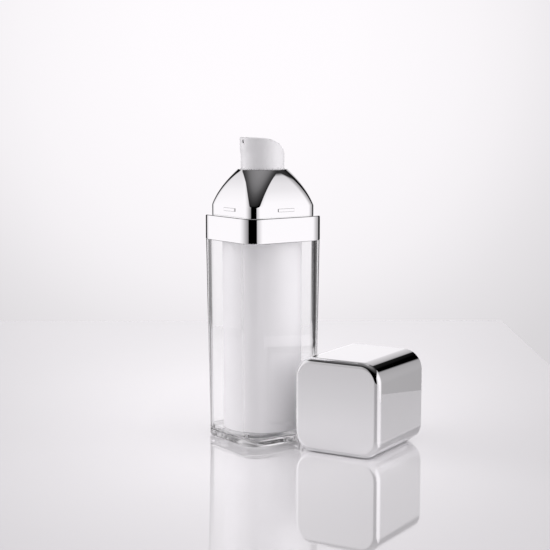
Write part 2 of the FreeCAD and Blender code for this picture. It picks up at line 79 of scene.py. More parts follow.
def pick(piece, kind, wanted):
    """Selects, in edit mode, the vertices, edges or faces that wanted is true for and no others."""
    bpy.ops.mesh.select_mode(type=kind)
    bpy.ops.mesh.select_all(action="DESELECT")
    mesh = bmesh.from_edit_mesh(piece.data)
    for item in {"VERT": mesh.verts, "EDGE": mesh.edges, "FACE": mesh.faces}[kind]:
        if wanted(item):
            item.select_set(True)
    mesh.select_flush_mode()
    bmesh.update_edit_mesh(piece.data)


def pick_level_face(piece, z):
    """Selects the flat faces that lie at height z."""
    pick(
        piece,
        "FACE",
        lambda face: abs(face.normal.z) > level_normal
        and abs(face.calc_center_median().z - z) < touch,
    )


def rounded_square(name, half, corner, z, flat_cuts=0):
    """Starts a piece as a flat square with round corners, in edit mode with its face selected."""
    bpy.ops.object.select_all(action="DESELECT")
    bpy.ops.mesh.primitive_plane_add(size=2 * half, location=(0, 0, z))
    piece = bpy.context.object
    piece.name = piece.data.name = name
    bpy.ops.object.transform_apply(location=True, rotation=False, scale=False)
    bpy.ops.object.mode_set(mode="EDIT")
    bpy.ops.mesh.select_all(action="SELECT")
    bpy.ops.mesh.bevel(offset=corner, segments=corner_steps, affect="VERTICES")
    if flat_cuts:
        pick(piece, "EDGE", lambda edge: edge.calc_length() > half - corner)
        bpy.ops.mesh.subdivide(number_cuts=flat_cuts)
    bpy.ops.mesh.select_mode(type="FACE")
    bpy.ops.mesh.select_all(action="SELECT")
    return piece


def lift(height):
    """Extrudes the selected face along the axis, down where height is negative."""
    bpy.ops.mesh.extrude_region_move(TRANSFORM_OT_translate={"value": (0, 0, height)})


def draw_in(inset):
    bpy.ops.mesh.inset(thickness=inset)


def round_edges(width, steps):
    """Rounds the selected edges, or all edges of the selected faces."""
    bpy.ops.mesh.bevel(offset=width, segments=steps, affect="EDGES")


def make_round(piece, radius):
    """Turns the selected outline into a circle of that radius about the axis."""
    bpy.ops.transform.tosphere(value=1)
    mesh = bmesh.from_edit_mesh(piece.data)
    reach = max(vertex.co.xy.length for vertex in mesh.verts if vertex.select)
    bpy.ops.transform.resize(value=(radius / reach, radius / reach, 1))


def cut_away(piece, cutter):
    """Takes the cutter's shape out of a piece and removes the cutter."""
    cut = piece.modifiers.new("cut", "BOOLEAN")
    cut.operation = "DIFFERENCE"
    cut.object = cutter
    bpy.context.view_layer.objects.active = piece
    bpy.ops.object.modifier_apply(modifier=cut.name)
    bpy.data.objects.remove(cutter, do_unlink=True)


def finish_mesh(piece, sharp_angle=35):
    """Turns all faces outwards and smooths all but the edges sharper than sharp_angle degrees."""
    bpy.context.view_layer.objects.active = piece
    piece.select_set(True)
    bpy.ops.object.mode_set(mode="EDIT")
    bpy.ops.mesh.select_all(action="SELECT")
    bpy.ops.mesh.normals_make_consistent(inside=False)
    bpy.ops.object.mode_set(mode="OBJECT")
    bpy.ops.object.shade_smooth_by_angle(angle=math.radians(sharp_angle))
    even = piece.modifiers.new("even normals", "WEIGHTED_NORMAL")
    even.keep_sharp = True
    bpy.ops.object.modifier_apply(modifier=even.name)


# The soft clouds of tone, gloss and height that a moulded or plated skin has.
cloud_detail = 4
cloud_least = 0.3
cloud_most = 0.7
skin_group = bpy.data.node_groups.new("moulded skin", "ShaderNodeTree")
for socket_name, socket_kind in (
    ("Light tone", "NodeSocketColor"),
    ("Dark tone", "NodeSocketColor"),
    ("Cloud scale", "NodeSocketFloat"),
    ("Smoothest", "NodeSocketFloat"),
    ("Roughest", "NodeSocketFloat"),
):
    skin_group.interface.new_socket(socket_name, in_out="INPUT", socket_type=socket_kind)
for socket_name, socket_kind in (
    ("Color", "NodeSocketColor"),
    ("Roughness", "NodeSocketFloat"),
    ("Height", "NodeSocketFloat"),
):
    skin_group.interface.new_socket(socket_name, in_out="OUTPUT", socket_type=socket_kind)
skin_nodes, skin_links = skin_group.nodes, skin_group.links
skin_in = skin_nodes.new("NodeGroupInput")
skin_out = skin_nodes.new("NodeGroupOutput")
skin_place = skin_nodes.new("ShaderNodeTexCoord")
skin_cloud = skin_nodes.new("ShaderNodeTexNoise")
skin_cloud.inputs["Detail"].default_value = cloud_detail
skin_tone = skin_nodes.new("ShaderNodeMix")
skin_tone.data_type = "RGBA"
skin_gloss = skin_nodes.new("ShaderNodeMapRange")
skin_gloss.inputs["From Min"].default_value = cloud_least
skin_gloss.inputs["From Max"].default_value = cloud_most
skin_links.new(skin_place.outputs["Object"], skin_cloud.inputs["Vector"])
skin_links.new(skin_in.outputs["Cloud scale"], skin_cloud.inputs["Scale"])
skin_links.new(skin_cloud.outputs["Fac"], skin_tone.inputs["Factor"])
skin_links.new(skin_in.outputs["Light tone"], skin_tone.inputs["A"])
skin_links.new(skin_in.outputs["Dark tone"], skin_tone.inputs["B"])
skin_links.new(skin_cloud.outputs["Fac"], skin_gloss.inputs["Value"])
skin_links.new(skin_in.outputs["Smoothest"], skin_gloss.inputs["To Min"])
skin_links.new(skin_in.outputs["Roughest"], skin_gloss.inputs["To Max"])
skin_links.new(skin_tone.outputs["Result"], skin_out.inputs["Color"])
skin_links.new(skin_gloss.outputs["Result"], skin_out.inputs["Roughness"])
skin_links.new(skin_cloud.outputs["Fac"], skin_out.inputs["Height"])


def moulded(name, light, dark, clouds_per_metre, smoothest, roughest, ripple):
    """A material with the moulded skin, its height in metres, and its shader to finish."""
    material = bpy.data.materials.new(name)
    material.use_nodes = True
    nodes, links = material.node_tree.nodes, material.node_tree.links
    shader = nodes["Principled BSDF"]
    skin = nodes.new("ShaderNodeGroup")
    skin.node_tree = skin_group
    skin.inputs["Light tone"].default_value = (*light, 1)
    skin.inputs["Dark tone"].default_value = (*dark, 1)
    skin.inputs["Cloud scale"].default_value = clouds_per_metre
    skin.inputs["Smoothest"].default_value = smoothest
    skin.inputs["Roughest"].default_value = roughest
    bump = nodes.new("ShaderNodeBump")
    bump.inputs["Distance"].default_value = ripple
    links.new(skin.outputs["Color"], shader.inputs["Base Color"])
    links.new(skin.outputs["Roughness"], shader.inputs["Roughness"])
    links.new(skin.outputs["Height"], bump.inputs["Height"])
    links.new(bump.outputs["Normal"], shader.inputs["Normal"])
    return material, shader


def in_soft_light(material, shader, stand_in_kind, tone, *rays):
    """Puts a plainer shader in for rays of soft light, which clear and mirror pieces would trap."""
    nodes, links = material.node_tree.nodes, material.node_tree.links
    light_path = nodes.new("ShaderNodeLightPath")
    stand_in = nodes.new(stand_in_kind)
    stand_in.inputs["Color"].default_value = tone
    surface = shader.outputs["BSDF"]
    for kind in rays:
        choice = nodes.new("ShaderNodeMixShader")
        links.new(light_path.outputs[kind], choice.inputs["Fac"])
        links.new(surface, choice.inputs[1])
        links.new(stand_in.outputs["BSDF"], choice.inputs[2])
        surface = choice.outputs["Shader"]
    links.new(surface, nodes["Material Output"].inputs["Surface"])


clear_acrylic, acrylic_shader = moulded(
    "clear acrylic",
    acrylic_light,
    acrylic_dark,
    clouds_per_metre=90,
    smoothest=0.0,
    roughest=0.015,
    ripple=0.000008,
)
acrylic_shader.inputs["Transmission Weight"].default_value = 1
acrylic_shader.inputs["IOR"].default_value = acrylic_ior
in_soft_light(
    clear_acrylic,
    acrylic_shader,
    "ShaderNodeBsdfTransparent",
    acrylic_soft,
    "Is Shadow Ray",
    "Is Diffuse Ray",
)

base_plate = rounded_square("clear_base_plate", base_half, base_corner, base_low.z)
lift(base_band)
round_edges(base_top_round, steps=3)
pick(base_plate, "EDGE", lambda edge: max(vertex.co.z for vertex in edge.verts) < touch)
round_edges(base_bottom_round, steps=5)
pick_level_face(base_plate, base_band)
draw_in(spigot_set_in - base_top_round)
lift(base_high.z - base_band)
draw_in(recess_set_in)
make_round(base_plate, recess_radius)
lift(recess_floor - base_high.z)
bpy.ops.object.mode_set(mode="OBJECT")
bpy.ops.mesh.primitive_cylinder_add(
    radius=vent_radius, depth=2 * base_high.z, location=(0, vent_offset, base_high.z / 2)
)
cut_away(base_plate, bpy.context.object)
finish_mesh(base_plate)
base_plate.data.materials.append(clear_acrylic)
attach(base_plate, "bottle")
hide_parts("base_plate")


# Outer shell
# The clear acrylic outer bottle, injection moulded with a slight taper towards its foot, so
# that it leaves the mould. Its stepped neck is pressed up into the plated collar.
shell_low, shell_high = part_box("outer_shell")
seam = 0.00004  # the fine line that is left between two pieces that meet
shell_corner = base_corner
shell_draft = 0.0009
shell_foot_round = 0.0008
shell_neck_height = 0.0045
shell_step = 0.00105
shell_neck_wall = 0.00115
cavity_draft = 0.0003
square_corners = ((-1, -1), (-1, 1), (1, -1), (1, 1))
shell_face_top = shell_high.z - shell_neck_height - seam


def open_foot(piece, z):
    """Opens both flat faces at height z, one inside the other, and joins them by a flat ring."""
    pick_level_face(piece, z)
    bpy.ops.mesh.delete(type="ONLY_FACE")
    pick(piece, "EDGE", lambda edge: len(edge.link_faces) == 1)
    bpy.ops.mesh.bridge_edge_loops()


def spread(piece, amount):
    """Moves the corners of the selected outline apart, with their rounds unchanged."""
    chosen = {v.index for v in bmesh.from_edit_mesh(piece.data).verts if v.select}
    for x_side, y_side in square_corners:
        pick(
            piece,
            "VERT",
            lambda v: v.index in chosen and v.co.x * x_side > 0 and v.co.y * y_side > 0,
        )
        bpy.ops.transform.translate(value=(amount * x_side, amount * y_side, 0))
    pick(piece, "VERT", lambda v: v.index in chosen)
    bpy.ops.mesh.select_mode(type="FACE")


shell_foot = shell_low.z + seam
shell = rounded_square("clear_outer_shell", base_half, shell_corner, shell_foot)
lift(shell_face_top - shell_foot)
spread(shell, shell_draft)
pick(shell, "EDGE", lambda edge: max(vertex.co.z for vertex in edge.verts) < shell_foot + touch)
round_edges(shell_foot_round, steps=5)
pick_level_face(shell, shell_face_top)
draw_in(shell_step)
lift(shell_neck_height)
draw_in(shell_neck_wall)
lift(shell_foot - shell_face_top - shell_neck_height)
spread(shell, -cavity_draft)
open_foot(shell, shell_foot)
finish_mesh(shell)
shell.data.materials.append(clear_acrylic)
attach(shell, "bottle")
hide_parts("outer_shell")


# Inner vessel
# The opaque white polypropylene vessel that holds the cream, a plain tube with a narrower
# neck for the pump. Its square flange hangs on the top of the shell.
vessel_low, vessel_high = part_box("inner_vessel")
vessel_radius = 0.01465
vessel_bore = 0.01345
vessel_facets = 128
vessel_neck_radius = 0.0099
vessel_neck_bore = 0.0085
vessel_neck_height = 0.0066
vessel_roof = 0.0014
flange_corner = 0.0061
vessel_light = (0.94, 0.936, 0.945)
vessel_dark = (0.92, 0.916, 0.927)

white_vessel, _ = moulded(
    "white vessel",
    vessel_light,
    vessel_dark,
    clouds_per_metre=160,
    smoothest=0.30,
    roughest=0.42,
    ripple=0.000004,
)


def round_piece(name, radius, facets, z):
    """Starts a round piece as a flat disc, in edit mode with its face selected."""
    bpy.ops.object.select_all(action="DESELECT")
    bpy.ops.mesh.primitive_circle_add(
        vertices=facets, radius=radius, fill_type="NGON", location=(0, 0, z)
    )
    piece = bpy.context.object
    piece.name = piece.data.name = name
    bpy.ops.object.transform_apply(location=True, rotation=False, scale=False)
    bpy.ops.object.mode_set(mode="EDIT")
    bpy.ops.mesh.select_mode(type="FACE")
    bpy.ops.mesh.select_all(action="SELECT")
    return piece


vessel_shoulder = vessel_high.z - vessel_neck_height
vessel_ceiling = vessel_shoulder - vessel_roof
vessel = round_piece("white_inner_vessel", vessel_radius, vessel_facets, vessel_low.z)
lift(vessel_shoulder - vessel_low.z)
draw_in(vessel_radius - vessel_neck_radius)
lift(vessel_neck_height)
draw_in(vessel_neck_radius - vessel_neck_bore)
lift(vessel_ceiling - vessel_high.z)
bpy.ops.mesh.extrude_region_move()
make_round(vessel, vessel_bore)
lift(vessel_low.z - vessel_ceiling)
open_foot(vessel, vessel_low.z)
bpy.ops.object.mode_set(mode="OBJECT")
flange = rounded_square("vessel_flange", vessel_high.x, flange_corner, vessel_ceiling)
draw_in(vessel_high.x - vessel_neck_radius)
make_round(flange, vessel_radius)
bpy.ops.mesh.delete(type="FACE")
bpy.ops.mesh.select_all(action="SELECT")
lift(vessel_roof)
bpy.ops.object.mode_set(mode="OBJECT")
bpy.ops.object.select_all(action="DESELECT")
flange.select_set(True)
vessel.select_set(True)
bpy.context.view_layer.objects.active = vessel
bpy.ops.object.join()
finish_mesh(vessel)
vessel.data.materials.append(white_vessel)
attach(vessel, "bottle")
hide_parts("inner_vessel")


# Follower piston
# A soft white polyethylene piston that air pushes up inside the vessel as cream is used. It
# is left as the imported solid, which shows only through the clear base.
soft_light = (0.86, 0.865, 0.87)
soft_dark = (0.80, 0.81, 0.82)
soft_white, _ = moulded(
    "soft white",
    soft_light,
    soft_dark,
    clouds_per_metre=220,
    smoothest=0.42,
    roughest=0.58,
    ripple=0.00001,
)


def dress(material, *nodes):
    """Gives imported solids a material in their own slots."""
    for node in nodes:
        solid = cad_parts[node]
        solid.data.materials.clear()
        solid.data.materials.append(material)


dress(soft_white, "follower_piston")


# Collar
# A square ring of vacuum-plated plastic with a bright mirror finish. It covers the joint
# between the shell and the shoulder, and its ledge holds the shoulder down.
collar_low, collar_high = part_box("collar")
collar_half = collar_high.x
collar_corner = 0.0075
collar_wall = 0.0010
collar_ledge = 0.0013
collar_top_round = 0.0005
collar_foot_round = 0.0002
collar_mouth_set_in = 0.0024
silver_light = (0.965, 0.965, 0.968)
silver_dark = (0.950, 0.951, 0.956)
silver_soft = (0.85, 0.85, 0.855, 1)

mirror_silver, silver_shader = moulded(
    "mirror silver",
    silver_light,
    silver_dark,
    clouds_per_metre=70,
    smoothest=0.004,
    roughest=0.014,
    ripple=0.000003,
)
silver_shader.inputs["Metallic"].default_value = 1
in_soft_light(
    mirror_silver, silver_shader, "ShaderNodeBsdfDiffuse", silver_soft, "Is Diffuse Ray"
)

collar = rounded_square("plated_collar", collar_half, collar_corner, collar_low.z)
lift(collar_high.z - collar_low.z)
round_edges(collar_top_round, steps=4)
pick(collar, "EDGE", lambda edge: max(v.co.z for v in edge.verts) < collar_low.z + touch)
round_edges(collar_foot_round, steps=3)
pick_level_face(collar, collar_high.z)
draw_in(collar_mouth_set_in - collar_top_round)
lift(-collar_ledge)
bpy.ops.mesh.extrude_region_move()
spread(collar, collar_mouth_set_in - collar_wall)
lift(collar_low.z - collar_high.z + collar_ledge)
open_foot(collar, collar_low.z)
finish_mesh(collar)
collar.data.materials.append(mirror_silver)
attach(collar, "bottle")
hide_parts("collar")


# Shoulder
# The plated dome that turns from the square body to the round pump head. It is moulded with
# a flange under the collar's ledge, and four low beads on its skirt hold the cap.
shoulder_low, shoulder_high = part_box("shoulder")
shoulder_flange_half = 0.0167
shoulder_flange_corner = 0.0062
shoulder_flange_height = 0.0023
skirt_half = 0.01545
skirt_corner = 0.00495
skirt_flat_cuts = 9  # in each flat side, which the dome then bends
skirt_top = 0.0915
dome_middle_rise_share = 0.515
dome_middle_half = 0.0132
dome_middle_corner = 0.0069
dome_top_radius = 0.00975
dome_rim_round = 0.00015
dome_levels = 18
least_flat = 0.00025  # what is left of the flat sides at the round top
skirt_edge_round = 0.0003
throat_radius = 0.0087
throat_depth = 0.0037
dome_wall = 0.0013
hollow_top_radius = 0.0103
bead_length = 0.0076
bead_height = 0.0013
bead_depth = 0.0003
bead_drop = 0.0014
bead_edge_round = 0.0002

dome_rim = shoulder_high.z - dome_rim_round


def through(share, first, middle, last):
    """A smooth curve of the dome's height share through its three drawn outlines."""
    low = dome_middle_rise_share
    return (
        first * (share - low) * (share - 1) / low
        + middle * share * (share - 1) / (low * (low - 1))
        + last * share * (share - low) / (1 - low)
    )


def diagonal(half, corner):
    """From the axis to the middle of a rounded corner."""
    return (half - corner) * math.sqrt(2) + corner


def reshape(piece, z, half, corner, next_half, next_corner):
    """Gives the rounded square at height z another half width and another corner round."""
    flat, next_flat = half - corner, next_half - next_corner
    sides = ((1, 0), (-1, 0), (0, 1), (0, -1))
    for x_side, y_side in sides:
        pick(
            piece,
            "VERT",
            lambda v: abs(v.co.z - z) < touch
            and v.co.x * x_side + v.co.y * y_side > half - touch
            and abs(v.co.x * y_side) + abs(v.co.y * x_side) < flat - touch,
        )
        squeeze = (1 if x_side else next_flat / flat, 1 if y_side else next_flat / flat, 1)
        bpy.ops.transform.resize(value=squeeze, center_override=(0, 0, z))
        shift = next_half - half
        bpy.ops.transform.translate(value=(shift * x_side, shift * y_side, 0))
    for x_side, y_side in square_corners:
        pick(
            piece,
            "VERT",
            lambda v: abs(v.co.z - z) < touch
            and min(v.co.x * x_side, v.co.y * y_side) > flat - touch,
        )
        grow = next_corner / corner
        bpy.ops.transform.resize(
            value=(grow, grow, 1), center_override=(flat * x_side, flat * y_side, z)
        )
        shift = next_flat - flat
        bpy.ops.transform.translate(value=(shift * x_side, shift * y_side, 0))
    pick_level_face(piece, z)


shoulder = rounded_square(
    "plated_shoulder",
    shoulder_flange_half,
    shoulder_flange_corner,
    shoulder_low.z,
    skirt_flat_cuts,
)
lift(shoulder_flange_height)
draw_in(shoulder_flange_half - skirt_half)
lift(skirt_top - shoulder_low.z - shoulder_flange_height)
half, corner = skirt_half, skirt_corner
for level in range(1, dome_levels + 1):
    share = level / dome_levels
    z = skirt_top + (dome_rim - skirt_top) * share
    next_half = through(share, skirt_half, dome_middle_half, dome_top_radius)
    reach = through(
        share,
        diagonal(skirt_half, skirt_corner),
        diagonal(dome_middle_half, dome_middle_corner),
        dome_top_radius,
    )
    next_corner = next_half - max((reach - next_half) / (math.sqrt(2) - 1), least_flat)
    lift((dome_rim - skirt_top) / dome_levels)
    reshape(shoulder, z, half, corner, next_half, next_corner)
    half, corner = next_half, next_corner
make_round(shoulder, dome_top_radius)
lift(dome_rim_round)
round_edges(dome_rim_round, steps=3)
pick_level_face(shoulder, shoulder_high.z)
draw_in(dome_top_radius - dome_rim_round - throat_radius)
lift(-throat_depth)
bpy.ops.mesh.extrude_region_move()
make_round(shoulder, hollow_top_radius)
lift(skirt_top - shoulder_high.z + throat_depth)
make_round(shoulder, skirt_half - dome_wall)
lift(shoulder_low.z - skirt_top)
open_foot(shoulder, shoulder_low.z)
pick(
    shoulder,
    "EDGE",
    lambda edge: all(abs(v.co.z - skirt_top) < touch for v in edge.verts)
    and all(v.co.xy.length > dome_middle_half for v in edge.verts),
)
round_edges(skirt_edge_round, steps=3)
bpy.ops.object.mode_set(mode="OBJECT")

bead_z = skirt_top - bead_drop
for quarter in range(4):
    bpy.ops.object.select_all(action="DESELECT")
    bpy.ops.mesh.primitive_cube_add(size=1)
    bead = bpy.context.object
    bead.scale = (2 * bead_depth, bead_length, bead_height)
    bpy.ops.object.transform_apply(location=False, rotation=False, scale=True)
    bpy.ops.object.mode_set(mode="EDIT")
    bpy.ops.mesh.select_all(action="SELECT")
    round_edges(bead_edge_round, steps=3)
    bpy.ops.object.mode_set(mode="OBJECT")
    turn = math.pi / 2 * quarter
    bead.location = (skirt_half * math.cos(turn), skirt_half * math.sin(turn), bead_z)
    bead.rotation_euler.z = turn
    bpy.ops.object.transform_apply(location=True, rotation=True, scale=False)
    shoulder.select_set(True)
    bpy.context.view_layer.objects.active = shoulder
    bpy.ops.object.join()
finish_mesh(shoulder)
shoulder.data.materials.append(mirror_silver)
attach(shoulder, "bottle")
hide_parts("shoulder")


# Pump engine
# The bought-in pump under the dome: natural polypropylene mouldings that snap together on the
# vessel's neck, two soft seals, a steel inlet ball and a steel return spring. All stay solids
# but the spring, which is coiled here so that the press can squeeze it.
spring_low, spring_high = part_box("return_spring")
spring_radius = 0.0044
spring_turns = 4
spring_steps = 144
wire_facets = 12
natural_light = (0.83, 0.84, 0.84)
natural_dark = (0.76, 0.775, 0.78)
steel_light = (0.62, 0.625, 0.63)
steel_dark = (0.50, 0.505, 0.515)
ball_light = (0.75, 0.755, 0.76)
ball_dark = (0.68, 0.685, 0.69)

pump_plastic, _ = moulded(
    "natural pump plastic",
    natural_light,
    natural_dark,
    clouds_per_metre=260,
    smoothest=0.30,
    roughest=0.45,
    ripple=0.000006,
)
spring_steel, spring_shader = moulded(
    "spring steel",
    steel_light,
    steel_dark,
    clouds_per_metre=900,
    smoothest=0.22,
    roughest=0.38,
    ripple=0.000004,
)
spring_shader.inputs["Metallic"].default_value = 1
polished_ball, ball_shader = moulded(
    "polished ball",
    ball_light,
    ball_dark,
    clouds_per_metre=700,
    smoothest=0.06,
    roughest=0.14,
    ripple=0.000001,
)
ball_shader.inputs["Metallic"].default_value = 1
dress(soft_white, "neck_gasket", "ring_piston")
dress(pump_plastic, "pump_housing", "pump_cap", "closure_ring", "stem", "stem_plug")
dress(polished_ball, "check_ball")

wire_radius = spring_high.x - spring_radius
spring_length = spring_high.z - spring_low.z
bpy.ops.object.select_all(action="DESELECT")
bpy.ops.mesh.primitive_circle_add(
    vertices=wire_facets,
    radius=wire_radius,
    location=(spring_radius, 0, spring_low.z + wire_radius),
    rotation=(math.pi / 2, 0, 0),
)
spring = bpy.context.object
spring.name = spring.data.name = "coiled_return_spring"
bpy.ops.object.transform_apply(location=True, rotation=True, scale=False)
coil = spring.modifiers.new("coil", "SCREW")
coil.angle = 2 * math.pi * spring_turns
coil.screw_offset = spring_length - 2 * wire_radius
coil.steps = coil.render_steps = spring_steps
bpy.ops.object.modifier_apply(modifier=coil.name)
bpy.ops.object.mode_set(mode="EDIT")
bpy.ops.mesh.select_all(action="SELECT")
bpy.ops.mesh.fill_holes(sides=wire_facets)
bpy.ops.object.mode_set(mode="OBJECT")
finish_mesh(spring)
spring.data.materials.append(spring_steel)
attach(spring, "pump_stem")
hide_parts("return_spring")
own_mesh(spring)


# Actuator
# The white push button, a thin polypropylene moulding with a curved crown and a small beak
# ahead of it for the nozzle. It is pressed on the stem, moves down with it and turns on it.
actuator_low, actuator_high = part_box("actuator")
actuator_radius = 0.0084
actuator_facets = 128
actuator_wall = 0.0012
actuator_hollow = 0.0060
boss_radius = 0.0049
boss_foot = 0.1035
crown_radius = 0.0190
crown_level_back = 0.0020
crown_edge_round = 0.0004
crown_edge_angle = math.radians(35)  # sharper edges of the crown are rounded
crown_normal = 0.3  # the faces of the crown have normals that are more upright than this
beak_reach = 0.0092
beak_foot_reach = 0.0090
beak_drop = 0.0054
beak_spread = math.radians(60)  # to each side of the nozzle
wall_shares = (0.30, 0.60, 0.69, 0.76, 0.83, 0.90, 0.96, 1)
nozzle_radius = 0.0007
nozzle_facets = 24
nozzle_depth = 0.0010
nozzle_drop = 0.0015
nozzle_tilt = math.radians(20)  # by which the spray leaves upwards
button_light = (0.83, 0.83, 0.835)
button_dark = (0.79, 0.79, 0.798)

white_actuator, _ = moulded(
    "white actuator",
    button_light,
    button_dark,
    clouds_per_metre=200,
    smoothest=0.28,
    roughest=0.40,
    ripple=0.000005,
)


def crown_z(y):
    """The height of the crown, level a little behind the beak's tip and falling to the back."""
    run = y + beak_reach - crown_level_back
    return actuator_high.z - crown_radius + math.sqrt(crown_radius**2 - run**2)


def wall_reach(turn, z):
    """How far the wall stands from the axis, turn radians from the nozzle and at height z."""
    rise = (z - actuator_high.z + beak_drop) / beak_drop
    if rise < 0 or turn > beak_spread:
        return actuator_radius
    reach = beak_foot_reach + (beak_reach - beak_foot_reach) * rise
    swell = math.cos(math.pi / 2 * turn / beak_spread) ** 2
    return actuator_radius + (reach - actuator_radius) * swell


actuator = round_piece("white_actuator", actuator_radius, actuator_facets, actuator_low.z)
for share in wall_shares:
    lift(actuator_high.z - actuator_low.z)
    mesh = bmesh.from_edit_mesh(actuator.data)
    for vertex in mesh.verts:
        if vertex.select:
            outward = vertex.co.xy.normalized()
            z = actuator_low.z + (crown_z(outward.y * actuator_radius) - actuator_low.z) * share
            x, y = outward * wall_reach(math.acos(-outward.y), z)
            vertex.co = (x, y, actuator_low.z + (crown_z(y) - actuator_low.z) * share)
    bmesh.update_edit_mesh(actuator.data)
bpy.ops.mesh.delete(type="ONLY_FACE")
pick(actuator, "EDGE", lambda edge: len(edge.link_faces) == 1)
bpy.ops.mesh.fill_grid(span=actuator_facets // 4)
mesh = bmesh.from_edit_mesh(actuator.data)
for vertex in mesh.verts:
    in_crown = all(face.normal.z > crown_normal for face in vertex.link_faces)
    if in_crown and vertex.co.z > boss_foot:
        vertex.co.z = crown_z(vertex.co.y)
bmesh.update_edit_mesh(actuator.data)
pick(
    actuator,
    "EDGE",
    lambda edge: all(abs(v.co.z - crown_z(v.co.y)) < touch for v in edge.verts)
    and len(edge.link_faces) == 2
    and edge.calc_face_angle() > crown_edge_angle,
)
round_edges(crown_edge_round, steps=3)
pick_level_face(actuator, actuator_low.z)
draw_in(actuator_wall)
lift(actuator_hollow)
draw_in(actuator_radius - actuator_wall - boss_radius)
lift(boss_foot - actuator_low.z - actuator_hollow)
bpy.ops.object.mode_set(mode="OBJECT")
bpy.ops.mesh.primitive_cylinder_add(
    radius=nozzle_radius,
    depth=2 * nozzle_depth,
    vertices=nozzle_facets,
    location=(0, -beak_reach, actuator_high.z - nozzle_drop),
    rotation=(math.pi / 2 - nozzle_tilt, 0, 0),
)
cut_away(actuator, bpy.context.object)
finish_mesh(actuator)
actuator.data.materials.append(white_actuator)
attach(actuator, "actuator")
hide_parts("actuator")


# Cap
# A plated over-cap with a plain white liner pressed inside it, whose pockets click over the
# shoulder's beads. It has been lifted off and lies on one of its flat sides.
cap_half = 0.0180
cap_corner = 0.0075
cap_length = 0.0364
cap_end_round = 0.0022
cap_mouth_round = 0.0003
cap_wall = 0.0012
cap_end_wall = 0.0015
cap_yaw = math.radians(23.2)
cap_mouth_x = 0.02795
cap_mouth_y = 0.03656
liner_set_back = 0.0004
liner_fit = 0.0001
liner_wall = 0.0011
liner_end_wall = 0.0012
pocket_depth = 0.0003
pocket_length = 0.0079
pocket_height = 0.0016
pocket_z = 0.0026
liner_light = (0.87, 0.87, 0.875)
liner_dark = (0.83, 0.83, 0.84)

white_liner, _ = moulded(
    "white liner",
    liner_light,
    liner_dark,
    clouds_per_metre=160,
    smoothest=0.32,
    roughest=0.44,
    ripple=0.000004,
)


def lay_beside(piece):
    """Lays a piece of the cap, built mouth down at the origin, on its side next to the bottle."""
    bpy.ops.object.select_all(action="DESELECT")
    piece.select_set(True)
    bpy.context.view_layer.objects.active = piece
    piece.location = (cap_mouth_x, cap_mouth_y, cap_half)
    piece.rotation_euler = (math.pi / 2, 0, cap_yaw)
    bpy.ops.object.transform_apply(location=True, rotation=True, scale=False)


cap_shell = rounded_square("plated_cap", cap_half, cap_corner, 0)
lift(cap_length)
round_edges(cap_end_round, steps=8)
pick(cap_shell, "EDGE", lambda edge: max(vertex.co.z for vertex in edge.verts) < touch)
round_edges(cap_mouth_round, steps=3)
pick_level_face(cap_shell, 0)
draw_in(cap_wall - cap_mouth_round)
lift(cap_length - cap_end_wall)
bpy.ops.object.mode_set(mode="OBJECT")
lay_beside(cap_shell)
finish_mesh(cap_shell)
cap_shell.data.materials.append(mirror_silver)
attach(cap_shell, "cap")
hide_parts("cap_shell")

liner_half = cap_half - cap_wall - liner_fit
liner_corner = cap_corner - cap_wall - liner_fit
cap_liner = rounded_square("white_cap_liner", liner_half, liner_corner, liner_set_back)
lift(cap_length - cap_end_wall - liner_set_back)
pick_level_face(cap_liner, liner_set_back)
draw_in(liner_wall)
lift(cap_length - cap_end_wall - liner_end_wall - liner_set_back)
bpy.ops.object.mode_set(mode="OBJECT")
for quarter in range(4):
    bpy.ops.object.select_all(action="DESELECT")
    bpy.ops.mesh.primitive_cube_add(size=1)
    pocket = bpy.context.object
    pocket.scale = (2 * pocket_depth, pocket_length, pocket_height)
    turn = math.pi / 2 * quarter
    pocket_reach = liner_half - liner_wall
    pocket.location = (pocket_reach * math.cos(turn), pocket_reach * math.sin(turn), pocket_z)
    pocket.rotation_euler.z = turn
    bpy.ops.object.transform_apply(location=True, rotation=True, scale=True)
    cut_away(cap_liner, pocket)
lay_beside(cap_liner)
finish_mesh(cap_liner)
cap_liner.data.materials.append(white_liner)
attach(cap_liner, "cap")
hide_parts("cap_liner")


# Camera
# It stands at the height and distance of the photograph's, to the right of the nozzle, and
# looks slightly down.
camera_azimuth = 0.955954479
camera_elevation = 0.130894040
camera_distance = 0.546545533
camera_aim_height = 0.060
camera_turn = -0.00886509  # from looking straight at the axis
camera_pitch = 0.123962276
focal_pixels = 1401.2166
picture_pixels = 550
sensor_width = 36.0

toward_camera = (
    math.sin(camera_azimuth) * math.cos(camera_elevation),
    -math.cos(camera_azimuth) * math.cos(camera_elevation),
    math.sin(camera_elevation),
)
camera_data = bpy.data.cameras.new("camera")
camera_data.sensor_width = sensor_width
camera_data.lens = focal_pixels / picture_pixels * sensor_width
camera = bpy.data.objects.new("camera", camera_data)
camera.location = [camera_distance * part for part in toward_camera]
camera.location.z += camera_aim_height
camera.rotation_euler = (math.pi / 2 - camera_pitch, 0, camera_azimuth + camera_turn)
bpy.context.scene.collection.objects.link(camera)
bpy.context.scene.camera = camera


# Floor
# A sheet of polished white acrylic on the studio table. It mirrors what stands on it, and its
# far edge melts into the backdrop.
floor_behind = 0.290
floor_ahead = 0.250
floor_right = 0.1435
floor_left = 0.250
floor_drop = 0.00005  # just under the foot, so that the two faces don't share a plane
floor_light = (0.97, 0.965, 0.975)
floor_dark = (0.96, 0.955, 0.965)
# The floor's colour is darkened with distance from a spot just behind the bottle: a painted pool of
# light.
painted_pool_behind = 0.03  # the middle of the painted pool of light, and its reach to the sides and along
painted_pool_side = 0.20
painted_pool_depth = 0.37
# the brightness painted into the floor's colour along that distance, as painted light
painted_pool_fall = ((0, 1.0), (0.25, 1.0), (0.42, 0.92), (0.60, 0.85), (0.75, 0.81), (1, 0.76))
floor_ior = 1.5
floor_mirror = 0.34  # the share that mirrors at every angle


